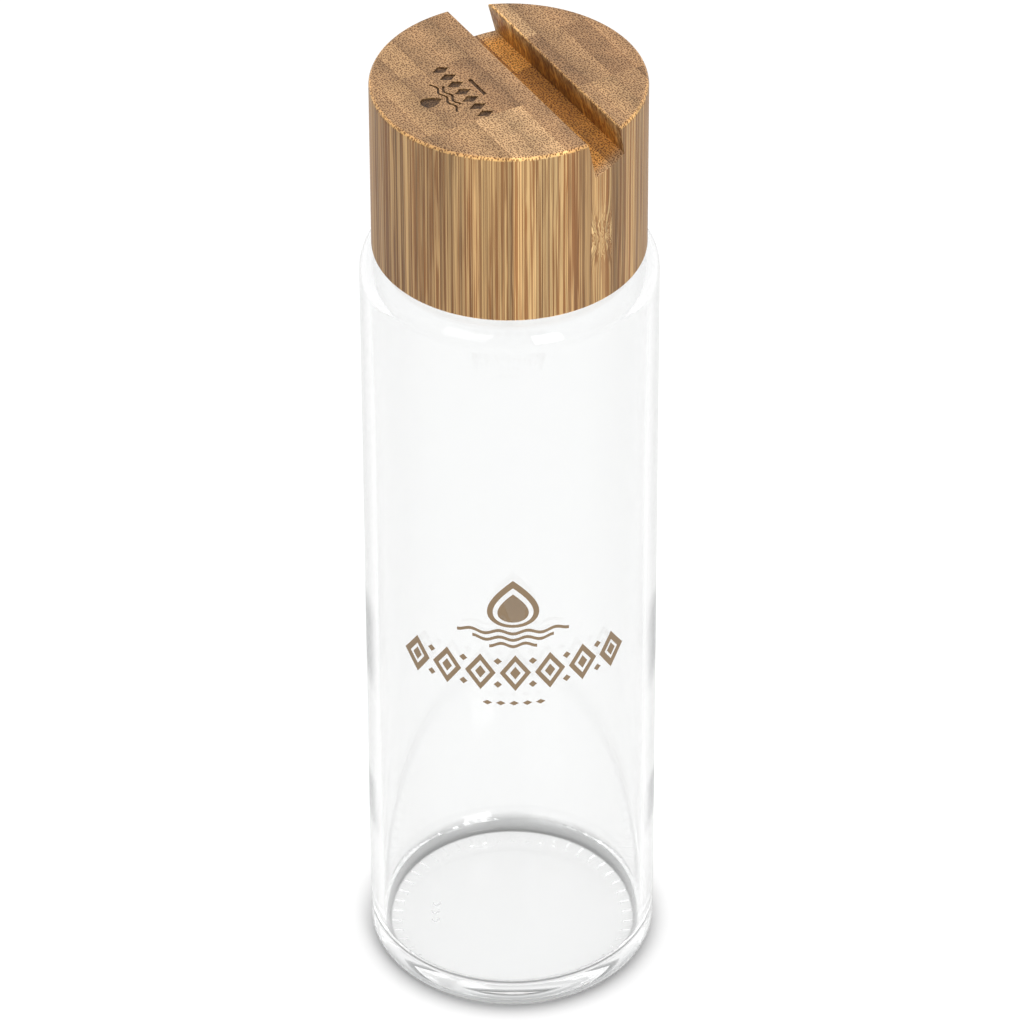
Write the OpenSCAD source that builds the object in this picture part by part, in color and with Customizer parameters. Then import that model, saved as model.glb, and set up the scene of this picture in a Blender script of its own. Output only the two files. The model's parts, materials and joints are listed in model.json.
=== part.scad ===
// Glass water bottle with a screw lid turned from laminated bamboo. A slanted slot across
// the lid holds a phone. The base rests on z = 0, the bottle's axis is Z and its front faces -Y.

/* [Glass body] */
// Outside diameter of the straight wall
glass_d = 66; // [58:0.5:80]
// Thickness of the side wall
glass_wall = 2.8; // [2.2:0.1:3.6]
// Height at which the straight wall ends and the shoulder starts
wall_top = 188; // [120:1:240]
// Outside radius of the shoulder
shoulder_r = 6.3; // [5:0.1:7]
// Thickness of the flat glass deck between shoulder and neck
deck_t = 2.3; // [2:0.1:3]

/* [Glass base] */
// Outside radius of the heel
heel_r = 4; // [2.5:0.1:6]
// Height of the inside floor above the table
floor_z = 5; // [4:0.5:9]
// Inside radius between the floor and the wall
floor_r = 4; // [2:0.5:8]
// Rise of the inside floor at its middle
floor_rise = 1; // [0.5:0.1:2]
// Height that the underside is pushed up at its middle
punt_rise = 1.6; // [1:0.1:2.6]
// Width of the flat ring that the bottle stands on
bearing_w = 4; // [3:0.1:6]
// Number of grip marks moulded across the standing ring
grip_count = 48; // [24:1:60]
// Radius of the round cutter of one grip mark
grip_r = 1.5; // [1.2:0.1:2]
// Depth of a grip mark
grip_depth = 0.45; // [0.2:0.05:0.8]
// Width of the unbroken ring inside the grip marks
grip_margin = 1; // [0.6:0.1:2]
// Number of small round mould marks under the base
dot_count = 3; // [1:1:5]

/* [Neck] */
// Diameter of the mouth
mouth_d = 39; // [32.5:0.5:42]
// Thickness of the neck wall
neck_wall = 3.1; // [2.4:0.1:3.4]
// Height of the neck's rim above the straight wall
neck_h = 26.5; // [24:0.5:28]
// Rounding of the rim's outer edge
rim_out_r = 1.2; // [0.6:0.1:1.4]
// Rounding of the rim's inner edge
rim_in_r = 0.9; // [0.5:0.1:1.2]

/* [Thread] */
// Rise of the thread in one turn
pitch = 5; // [4:0.1:6]
// Height of the glass thread above the neck
bead_h = 1.5; // [1.1:0.1:1.7]
// Width of a thread at its root
bead_w = 2.6; // [2:0.1:2.6]
// Turns of the thread on the glass
glass_turns = 1.5; // [1:0.25:1.75]
// Turns of the thread inside the lid
lid_turns = 1.25; // [1:0.25:1.5]
// Gap between a thread's crest and the opposite wall
crest_gap = 0.5; // [0.3:0.05:0.7]
// How far the lid's thread sits below the glass thread
thread_drop = 2.35; // [2.2:0.05:2.5]

/* [Lid] */
// Diameter of the bamboo lid
lid_d = 60.4; // [60:0.2:76]
// Height of the bamboo lid
lid_h = 42.5; // [42:0.5:60]
// Gap between the glass deck and the closed lid
lid_gap = 0.75; // [0.4:0.05:1.5]
// Rounding of the lid's top edge
top_edge_r = 1.1; // [0.5:0.1:2]
// Rounding of the lid's bottom edge
foot_edge_r = 0.6; // [0.3:0.1:1]
// How far the closed lid is turned from the front
lid_angle = 30.6; // [0:0.1:90]

/* [Bamboo strips] */
// Thickness of one strip
strip_t = 5.75; // [5:0.05:8]
// Width of one strip
strip_w = 21.8; // [18:0.1:26]
// How far the middle row lies off the axis
row_shift = 0.85; // [0:0.05:2]

/* [Phone slot] */
// Width of the slot
slot_w = 8.8; // [8:0.1:12]
// Depth of the slot along its slope
slot_depth = 8.6; // [6:0.1:10]
// Lean of the slot from upright
slot_tilt = 12; // [5:1:15]
// How far the slot's mouth lies off the axis
slot_offset = 6.5; // [0:0.1:10]
// Rounding of the slot's upper edges
slot_edge_r = 0.6; // [0.3:0.1:1]

/* [Burnt mark] */
// Depth of the mark burnt into the lid's top
mark_depth = 0.35; // [0.2:0.05:0.6]
// Distance of the mark's middle band from the axis
mark_offset = 10.9; // [9:0.1:12]

/* [Threaded insert] */
// Wall of the plastic insert
insert_wall = 2; // [1.4:0.1:2.2]
// Thickness of the insert's closed top
ceiling_t = 1.8; // [1.2:0.1:2.2]
// How far the insert stops short of the lid's foot
insert_recess = 0.3; // [0.1:0.1:1]
// Gap for glue between insert and bamboo
glue_gap = 0.5; // [0.3:0.05:0.6]
// Number of ribs that key the insert into the glue
rib_count = 12; // [6:1:24]
// Height of the small lip that keeps the gasket in
lip_h = 0.9; // [0.6:0.1:1.2]

/* [Gasket] */
// Thickness of the silicone gasket
gasket_t = 2.3; // [1.8:0.1:2.6]
// Width of the gasket
gasket_w = 5.7; // [5:0.1:6]
// Gap between the gasket's edge and the insert
gasket_gap = 0.3; // [0.2:0.05:0.5]

/* [Hidden] */
$fn = 180;
over = 1;
arc_steps = 12;

glass_r = glass_d / 2;
inner_r = glass_r - glass_wall;
bearing_r = glass_r - heel_r;
bearing_in = bearing_r - bearing_w;
deck_z = wall_top + shoulder_r;
mouth_r = mouth_d / 2;
neck_r = mouth_r + neck_wall;
neck_top = wall_top + neck_h;
neck_fillet = 1.6;
throat_r = 2.2;
floor_flat = inner_r - floor_r;

dot_r = 1.3;
dot_ring = 18;
dot_angle = 171;
dot_step = 9;
dot_proud = 0.45;

steps_per_turn = 40;
bead_points = 6;
bead_root = 0.4;
thread_rise = 5.2;
run_out = 5;
thread_z = deck_z + thread_rise;
lid_thread_start = 90;

insert_in = neck_r + bead_h + crest_gap;
insert_out = insert_in + insert_wall;
insert_z = deck_z + lid_gap + insert_recess;
ceiling_z = neck_top + gasket_t;
insert_top = ceiling_z + ceiling_t;
rib_r = 0.5;
rib_proud = 0.4;
lip_out = 0.7;
lip_gap = 0.3;
lead_in = 0.8;
gasket_out = insert_in - gasket_gap;
gasket_edge = 0.35;

lid_r = lid_d / 2;
lid_z = deck_z + lid_gap;
lid_top = lid_z + lid_h;
pocket_r = insert_out + glue_gap;

column_reach = ceil((lid_r - strip_t / 2) / strip_t);
row_reach = ceil((lid_r + row_shift - strip_w / 2) / strip_w);
smallest_strip = 1;

mark_band_l = 22.4;
mark_band_h = 4.2;
mark_emblem_y = 6.4;
mark_dash_y = -3.6;
mark_dash = [6.8, 0.9];
mark_lozenges = 7;
mark_lozenge_share = 0.82;
mark_drop = [3.8, 5];
mark_drop_lift = 1.3;
mark_ripple = 0.6;
mark_swell = 0.4;

glass_tint = [0.93, 0.95, 0.95, 0.35];
insert_white = [0.93, 0.92, 0.88];
silicone_white = [0.96, 0.96, 0.95];
bamboo_tones = [
    [0.74, 0.57, 0.40], [0.68, 0.51, 0.36], [0.78, 0.62, 0.44], [0.71, 0.53, 0.39], [0.76, 0.60, 0.46]
];
// Tone of each strip from left to right, in the front, middle and back row
tone_plan = [
    [0, 0, 4, 2, 2, 3, 2, 0, 4, 0, 1],
    [0, 4, 0, 0, 1, 3, 0, 1, 0, 1, 3],
    [0, 0, 4, 0, 0, 3, 1, 2, 0, 3, 0]
];

// Points of a round stretch from angle a to angle b about centre c
function arc(c, r, a, b) =
    [for (i = [0:arc_steps]) let (t = a + (b - a) * i / arc_steps) c + r * [cos(t), sin(t)]];

// Points of a shallow dome from radius r at height z to the axis at height z + rise
function dome(r, z, rise) =
    [for (i = [1:arc_steps]) let (q = 1 - i / arc_steps) [r * q, z + rise * (1 - q * q)]];

function reversed(points) = [for (i = [len(points) - 1:-1:0]) points[i]];

glass_outside = concat(
    reversed(dome(bearing_in, 0, punt_rise)),
    [[bearing_in, 0]],
    arc([bearing_r, heel_r], heel_r, -90, 0),
    arc([glass_r - shoulder_r, wall_top], shoulder_r, 0, 90),
    arc([neck_r + neck_fillet, deck_z + neck_fillet], neck_fillet, 270, 180),
    arc([neck_r - rim_out_r, neck_top - rim_out_r], rim_out_r, 0, 90)
);

glass_inside = concat(
    arc([mouth_r + rim_in_r, neck_top - rim_in_r], rim_in_r, 90, 180),
    arc([mouth_r + throat_r, deck_z - deck_t + throat_r], throat_r, 180, 270),
    arc([inner_r - shoulder_r + deck_t, wall_top], shoulder_r - deck_t, 90, 0),
    arc([floor_flat, floor_z + floor_r], floor_r, 0, -90),
    dome(floor_flat, floor_z, floor_rise)
);

// Helical bead with a rounded section. side is 1 on the outside of a wall, -1 on the inside
module helix_bead(wall_r, side, z, start, turns) {
    sections = floor(turns * steps_per_turn);
    ring = bead_points + 1;
    points = [
        for (i = [0:sections])
            let (
                turn = start + i * 360 / steps_per_turn,
                full = min(1, (i + 1) / run_out, (sections - i + 1) / run_out)
            )
            for (k = [0:bead_points])
                let (
                    a = k * 180 / bead_points,
                    out = k % bead_points == 0 ? -bead_root : bead_h * full * sin(a),
                    r = wall_r + side * out
                )
                [r * cos(turn), r * sin(turn), z - bead_w / 2 * cos(a) + pitch * turn / 360]
    ];
    sides = [
        for (i = [0:sections - 1])
            for (k = [0:ring - 1])
                let (
                    a = i * ring + k,
                    b = i * ring + (k + 1) % ring
                )
                each [[a, b, b + ring], [a, b + ring, a + ring]]
    ];
    faces = concat(
        [[for (k = [ring - 1:-1:0]) k]],
        sides,
        [[for (k = [0:ring - 1]) sections * ring + k]]
    );
    outward = side > 0 ? faces : [for (f = faces) reversed(f)];
    polyhedron(points, outward, convexity = 6);
}

module grip_marks() {
    for (i = [0:grip_count - 1])
        rotate([0, 0, i * 360 / grip_count])
            translate([bearing_in + grip_margin, 0, grip_depth - grip_r])
                rotate([0, 90, 0])
                    cylinder(r = grip_r, h = bearing_w + heel_r, $fn = 48);
}

module mould_dots() {
    sink = dot_r - dot_proud;
    for (i = [0:dot_count - 1])
        rotate([0, 0, dot_angle + i * dot_step])
            translate([dot_ring, 0, punt_rise * (1 - pow(dot_ring / bearing_in, 2)) + sink])
                sphere(r = dot_r, $fn = 48);
}

module glass_bottle() {
    color(glass_tint) union() {
        difference() {
            rotate_extrude()
                polygon(concat(glass_outside, glass_inside));
            grip_marks();
        }
        mould_dots();
        helix_bead(neck_r, 1, thread_z, 0, glass_turns);
    }
}

module threaded_insert() {
    lip_z = neck_top - lip_gap - lip_h;
    shell = [
        [insert_in + lead_in, insert_z],
        [insert_out, insert_z],
        [insert_out, insert_top],
        [0, insert_top],
        [0, ceiling_z],
        [insert_in, ceiling_z],
        [insert_in, lip_z + lip_h],
        [insert_in - lip_out, lip_z + lip_h],
        [insert_in, lip_z],
        [insert_in, insert_z + lead_in]
    ];
    color(insert_white) union() {
        rotate_extrude()
            polygon(shell);
        for (i = [0:rib_count - 1])
            rotate([0, 0, i * 360 / rib_count])
                translate([insert_out + rib_proud - rib_r, 0, insert_z + lead_in])
                    cylinder(r = rib_r, h = insert_top - insert_z - 2 * lead_in, $fn = 32);
        helix_bead(insert_in, -1, thread_z - thread_drop, lid_thread_start, lid_turns);
    }
}

module silicone_gasket() {
    gasket_in = gasket_out - gasket_w;
    section = [
        [gasket_in, neck_top + gasket_edge],
        [gasket_in + gasket_edge, neck_top],
        [gasket_out - gasket_edge, neck_top],
        [gasket_out, neck_top + gasket_edge],
        [gasket_out, ceiling_z - gasket_edge],
        [gasket_out - gasket_edge, ceiling_z],
        [gasket_in + gasket_edge, ceiling_z],
        [gasket_in, ceiling_z - gasket_edge]
    ];
    color(silicone_white)
        rotate_extrude()
            polygon(section);
}

// Cuts the square edge of a disc's outline back to a round one. up is 1 at its top, -1 at its foot
module edge_round(z, r, up) {
    translate([lid_r - r, z - up * r])
        mirror([0, up > 0 ? 0 : 1])
            difference() {
                square(r + over);
                circle(r);
            }
}

module turned_block() {
    rotate_extrude()
        difference() {
            translate([0, lid_z])
                square([lid_r, lid_h]);
            edge_round(lid_top, top_edge_r, 1);
            edge_round(lid_z, foot_edge_r, -1);
        }
}

// Point of the slot's section: u across it and w down its slope
function slot_point(u, w) =
    [slot_offset + u * cos(slot_tilt) + w * sin(slot_tilt), u * sin(slot_tilt) - w * cos(slot_tilt)];

// Rounded upper edge of one side of the slot. side is -1 on the left and 1 on the right
module slot_edge(side) {
    corner = [slot_offset + side * slot_w / 2 / cos(slot_tilt), 0];
    half = (90 - side * slot_tilt) / 2;
    reach = slot_edge_r / tan(half);
    centre = corner + [side * reach, -slot_edge_r];
    swing = 180 - 2 * half;
    polygon(concat(
        [[corner[0], over], [centre[0], over]],
        [for (i = [0:arc_steps / 2])
            let (t = 90 + side * swing * i / (arc_steps / 2))
            centre + slot_edge_r * [cos(t), sin(t)]],
        [corner - side * [over, 0]]
    ));
}

module slot_cut() {
    translate([0, 0, lid_top])
        rotate([90, 0, 0])
            linear_extrude(height = lid_d + 2 * over, center = true) {
                polygon([
                    slot_point(-slot_w / 2, -slot_depth),
                    slot_point(slot_w / 2, -slot_depth),
                    slot_point(slot_w / 2, slot_depth),
                    slot_point(-slot_w / 2, slot_depth)
                ]);
                slot_edge(-1);
                slot_edge(1);
            }
}

function wave(x, length, waves) = -cos(180 * (2 * waves) * x / length);

// One water line of the mark
module ripple(length, waves, swell, line) {
    n = 12 * waves;
    xs = [for (i = [0:n]) length * (i / n - 0.5)];
    polygon(concat(
        [for (x = xs) [x, swell * wave(x, length, waves) + line / 2]],
        [for (x = reversed(xs)) [x, swell * wave(x, length, waves) - line / 2]]
    ));
}

// A drop with its point down, whose widest part is drop_bulge times wider than a plain teardrop's
module drop(height, width) {
    drop_bulge = 1.3;
    polygon([for (t = [0:15:345])
        [width / 2 * sin(t) * sin(t / 2) * drop_bulge, -height / 2 * cos(t)]]);
}

module lozenge(length, height) {
    polygon([[-length / 2, 0], [0, -height / 2], [length / 2, 0], [0, height / 2]]);
}

// A drop over two ripples, a row of lozenges and a short dash
module mark_outline() {
    translate([0, mark_emblem_y + mark_drop_lift])
        drop(mark_drop[1], mark_drop[0]);
    // [length, waves, distance below the emblem's middle]
    for (line = [[12, 3, 2], [8, 2, 3.3]])
        translate([0, mark_emblem_y - line[2]])
            ripple(line[0], line[1], mark_swell, mark_ripple);
    spacing = mark_band_l / mark_lozenges;
    for (i = [0:mark_lozenges - 1])
        translate([(i - (mark_lozenges - 1) / 2) * spacing, 0])
            lozenge(spacing * mark_lozenge_share, mark_band_h);
    translate([0, mark_dash_y])
        square(mark_dash, center = true);
}

module mark_cut() {
    translate([-mark_offset, row_shift, lid_top - mark_depth])
        rotate([0, 0, 90])
            linear_extrude(height = mark_depth + over)
                mark_outline();
}

// Entry of a list for a place counted from its middle, repeated past its ends
function around(list, place) =
    let (n = len(list), middle = (n - 1) / 2)
    list[((place + middle) % n + n) % n];

// One strip of the glued block: column counts across the slot, row along it
module bamboo_strip(column, row) {
    tone = bamboo_tones[around(around(tone_plan, row), column)];
    color(tone) rotate([0, 0, lid_angle])
        difference() {
            intersection() {
                turned_block();
                translate([(column - 0.5) * strip_t, row_shift + (row - 0.5) * strip_w, lid_z - over])
                    cube([strip_t, strip_w, lid_h + 2 * over]);
            }
            translate([0, 0, lid_z - over])
                cylinder(r = pocket_r, h = insert_top - lid_z + over);
            slot_cut();
            mark_cut();
        }
}

// Distance from the axis to the nearest corner or side of a strip
function nearest(column, row) =
    let (
        x = max(0, abs(column) - 0.5) * strip_t,
        y = max(0, (row - 0.5) * strip_w + row_shift, -(row + 0.5) * strip_w - row_shift)
    )
    sqrt(x * x + y * y);

cells = [
    for (column = [-column_reach:column_reach])
        for (row = [-row_reach:row_reach])
            if (nearest(column, row) < lid_r - smallest_strip) [column, row]
];

function column_name(c) = c == 0 ? "centre" : str(c < 0 ? "left_" : "right_", abs(c));
function row_name(r) = r == 0 ? "middle" : str(r < 0 ? "front" : "back", abs(r) > 1 ? str("_", abs(r)) : "");
function strip_name(cell) = str("bamboo_", column_name(cell[0]), "_", row_name(cell[1]));

glass_bottle();
threaded_insert();
silicone_gasket();
for (cell = cells)
    bamboo_strip(cell[0], cell[1]);
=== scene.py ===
"""Studio scene of a glass water bottle with a bamboo screw lid that holds a phone.

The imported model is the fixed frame. The glass and its printed ornament are modelled here, and
the bamboo strips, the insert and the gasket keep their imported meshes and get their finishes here.
All sizes are in metres. The bottle's axis is Z, it stands on z = 0 and its front faces -Y.
"""

import json
import logging
import math
from dataclasses import dataclass
from enum import Enum
from typing import Callable, Dict, Iterable, List, Optional, Sequence, Tuple, Union

import bmesh
import bpy
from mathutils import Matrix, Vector


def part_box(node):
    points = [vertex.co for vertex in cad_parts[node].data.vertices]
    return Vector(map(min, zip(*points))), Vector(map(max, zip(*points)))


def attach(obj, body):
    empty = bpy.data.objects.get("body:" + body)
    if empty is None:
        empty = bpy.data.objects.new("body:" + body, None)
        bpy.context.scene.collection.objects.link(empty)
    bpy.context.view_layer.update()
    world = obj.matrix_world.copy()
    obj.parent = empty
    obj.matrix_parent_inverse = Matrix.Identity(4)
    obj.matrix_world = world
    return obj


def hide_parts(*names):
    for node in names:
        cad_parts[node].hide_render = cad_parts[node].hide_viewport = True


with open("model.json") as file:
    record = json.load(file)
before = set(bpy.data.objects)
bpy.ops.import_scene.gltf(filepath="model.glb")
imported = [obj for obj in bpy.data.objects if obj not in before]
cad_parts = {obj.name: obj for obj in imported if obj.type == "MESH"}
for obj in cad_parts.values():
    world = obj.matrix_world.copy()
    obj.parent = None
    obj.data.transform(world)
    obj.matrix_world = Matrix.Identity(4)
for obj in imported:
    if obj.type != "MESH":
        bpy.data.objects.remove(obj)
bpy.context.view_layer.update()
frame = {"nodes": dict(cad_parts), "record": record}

MM = 0.001
PER_MM = 1 / MM
TURN = 2 * math.pi

Socket = bpy.types.NodeSocket
Value = Union[float, Sequence[float], Socket]
Colour = Tuple[float, float, float]
Point2 = Tuple[float, float]

NOISE_SPAN: Point2 = (0.3, 0.7)  # where nearly all values of a noise lie

log = logging.getLogger("bottle")


class Slot(Enum):
    """Material slots of the record, apart from the bamboo's."""

    GLASS = "clear_glass"
    PLASTIC = "insert_plastic"
    SILICONE = "silicone"


class Tone(Enum):
    """Base tones of the bamboo strips, as linear colours of the ground between the fibres."""

    TAN = (0.290, 0.165, 0.083)
    BROWN = (0.246, 0.134, 0.066)
    PALE = (0.404, 0.243, 0.127)
    PINK = (0.302, 0.168, 0.084)
    STRAW = (0.330, 0.192, 0.096)


# ---------------------------------------------------------------------------- node wiring


@dataclass(frozen=True)
class Strand:
    """Noise that is stretched along the fibres, in millimetres."""

    stretch: float
    scale: float
    detail: float = 1.0
    roughness: float = 0.5
    shift: float = 0.0


@dataclass
class Wiring:
    """Adds nodes to one node tree and links them as they are made."""

    tree: bpy.types.NodeTree

    def feed(self, socket: Socket, value: Value) -> None:
        """Links a socket to another, or sets its plain value.

        Args:
            socket: The input that is fed.
            value: A socket to link from, a number, or a sequence of numbers.
        """
        if isinstance(value, bpy.types.NodeSocket):
            self.tree.links.new(value, socket)
        elif isinstance(value, (int, float)):
            socket.default_value = value
        else:
            wanted = len(socket.default_value)
            socket.default_value = (tuple(value) + (1.0,))[:wanted]

    def node(self, kind: str, inputs: Optional[Dict[Union[int, str], Value]] = None,
             **settings) -> bpy.types.Node:
        """Adds a node, sets its properties and feeds its inputs.

        Args:
            kind: The node's type name without its ShaderNode prefix.
            inputs: Values or sockets by input index or name.
            **settings: Properties of the node.

        Returns:
            The new node.
        """
        made = self.tree.nodes.new("ShaderNode" + kind)
        for name, value in settings.items():
            setattr(made, name, value)
        for key, value in (inputs or {}).items():
            self.feed(made.inputs[key], value)
        return made

    def maths(self, operation: str, *values: Value) -> Socket:
        """Combines one to three numbers with a Math node and returns its result."""
        return self.node("Math", dict(enumerate(values)), operation=operation).outputs[0]

    def times(self, value: Value, factor: Value) -> Socket:
        """Multiplies two numbers."""
        return self.maths("MULTIPLY", value, factor)

    def vector(self, operation: str, *values: Value) -> Socket:
        """Combines vectors with a Vector Math node and returns its result."""
        made = self.node("VectorMath", dict(enumerate(values)), operation=operation)
        return made.outputs["Value" if operation == "LENGTH" else "Vector"]

    def scaled(self, vector: Value, factors: Value) -> Socket:
        """Multiplies a vector or colour by three factors."""
        return self.vector("MULTIPLY", vector, factors)

    def band(self, value: Value, low: float, high: float, to_low: float = 0.0,
             to_high: float = 1.0) -> Socket:
        """Maps a stretch of values smoothly onto another.

        Args:
            value: The value that is mapped.
            low: Value at which the result starts.
            high: Value at which the result ends.
            to_low: Result at and before low.
            to_high: Result at and beyond high.

        Returns:
            The mapped value.
        """
        made = self.node("MapRange", {0: value, 1: low, 2: high, 3: to_low, 4: to_high},
                         interpolation_type="SMOOTHSTEP")
        return made.outputs[0]

    def blend(self, factor: Value, first: Value, second: Value) -> Socket:
        """Mixes two colours and returns the result."""
        made = self.node("Mix", {0: factor, 6: first, 7: second}, data_type="RGBA", blend_type="MIX")
        return made.outputs[2]

    def noise(self, vector: Value, scale: Value, detail: float, roughness: float = 0.5) -> Socket:
        """Smooth noise from 0 to 1 at a vector."""
        made = self.node("TexNoise", {"Vector": vector, "Scale": scale, "Detail": detail,
                                      "Roughness": roughness})
        return made.outputs["Fac"]

    def strand(self, point: Sequence[Socket], kind: Strand) -> Socket:
        """Noise at a point, stretched along the fibres.

        Args:
            point: The point's three parts in millimetres.
            kind: How the noise is stretched and how fine it is.

        Returns:
            The noise, from 0 to 1.
        """
        first = self.maths("ADD", point[0], kind.shift) if kind.shift else point[0]
        place = self.join(first, point[1], self.times(point[2], kind.stretch))
        return self.noise(place, kind.scale, kind.detail, kind.roughness)

    def split(self, vector: Value) -> Tuple[Socket, Socket, Socket]:
        """The three parts of a vector."""
        made = self.node("SeparateXYZ", {0: vector})
        return made.outputs[0], made.outputs[1], made.outputs[2]

    def join(self, x: Value, y: Value, z: Value) -> Socket:
        """A vector from three numbers."""
        return self.node("CombineXYZ", {0: x, 1: y, 2: z}).outputs[0]


Drawing = Callable[[Wiring, Dict[str, Socket]], Dict[str, Socket]]


@dataclass
class GroupMaker:
    """Builds one shared node group from its named inputs, outputs and a drawing function."""

    name: str
    inputs: Dict[str, str]
    outputs: Dict[str, str]

    def build(self, draw: Drawing) -> bpy.types.NodeTree:
        """Makes the group.

        Args:
            draw: Function that adds the nodes; it takes the wiring and the input sockets by name
                and returns the sockets that feed the outputs by name.

        Returns:
            The node group.
        """
        tree = bpy.data.node_groups.new(self.name, "ShaderNodeTree")
        for name, kind in self.inputs.items():
            tree.interface.new_socket(name, in_out="INPUT", socket_type="NodeSocket" + kind)
        for name, kind in self.outputs.items():
            tree.interface.new_socket(name, in_out="OUTPUT", socket_type="NodeSocket" + kind)
        wiring = Wiring(tree)
        entry = tree.nodes.new("NodeGroupInput")
        results = draw(wiring, {name: entry.outputs[name] for name in self.inputs})
        leave = tree.nodes.new("NodeGroupOutput")
        for name, socket in results.items():
            tree.links.new(socket, leave.inputs[name])
        return tree


@dataclass(frozen=True)
class Grain:
    """What shapes the bamboo's grain, in millimetres and shares."""

    seed_step: float = 37.3
    knot_height: float = 212.5
    knot_spread: float = 4.6
    knot_crowd: float = 0.9
    knot_curl: float = 4.2
    knot_paler: float = 0.35
    knot_tone: Colour = (1.15, 1.24, 1.32)
    curl: Strand = Strand(0.45, 0.55, 2.0)
    drift: Strand = Strand(0.35, 0.12)
    drift_width: float = 0.35
    cell_scale: float = 2.0
    cell_random: float = 0.8
    cell_band: Point2 = (0.27, 0.42)
    cell_weakest: float = 0.7
    fibre: Strand = Strand(0.012, 3.4, 3.0, 0.6)
    streak: Strand = Strand(0.006, 0.95, 2.0, 0.55)
    broad: Strand = Strand(0.05, 0.23, 2.0)
    thin: Strand = Strand(0.004, 1.25, shift=91.0)
    finer: Strand = Strand(0.003, 2.6, shift=43.0)
    patch: Strand = Strand(0.09, 0.5)
    line_band: Point2 = (0.022, 0.07)
    hair_level: float = 0.42
    hair_band: Point2 = (0.03, 0.09)
    patch_band: Point2 = (0.38, 0.62)
    gleam_band: Point2 = (0.58, 0.66)
    slope: float = 0.2
    slope_turn: float = 9.1
    mottle: float = 0.62
    fibre_end: float = 0.35
    fibre_side: float = 0.95
    streak_side: float = 0.85
    # End and side tones differ by grain, and partly as painted light: the top is painted lighter and the
    # sides darker
    end_tone: Colour = (1.61, 1.64, 1.55)
    side_tone: Colour = (1.24, 1.31, 1.07)
    dot_tone: Colour = (0.20, 0.125, 0.065)
    dot_end: float = 0.95
    dot_side: float = 0.55
    line_tone: Colour = (0.42, 0.25, 0.12)
    line_share: float = 0.85
    gleam_tone: Colour = (1.34, 1.42, 1.50)
    gleam_share: float = 0.55
    glue_start: float = 0.93
    glue_tone: Colour = (0.55, 0.45, 0.35)
    glue_share: float = 0.5
    # The edge tone is partly a painted highlight on the sanded rounding
    edge_tone: Colour = (1.66, 1.56, 1.20)
    edge_dot_tone: Colour = (0.34, 0.22, 0.09)
    edge_share: float = 0.8
    edge_gloss: float = 0.42
    rough_band: Point2 = (0.44, 0.58)
    dot_rough: float = 0.08
    dot_depth: float = 0.45
    fibre_height: float = 0.35
    line_depth: float = 0.4


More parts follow.
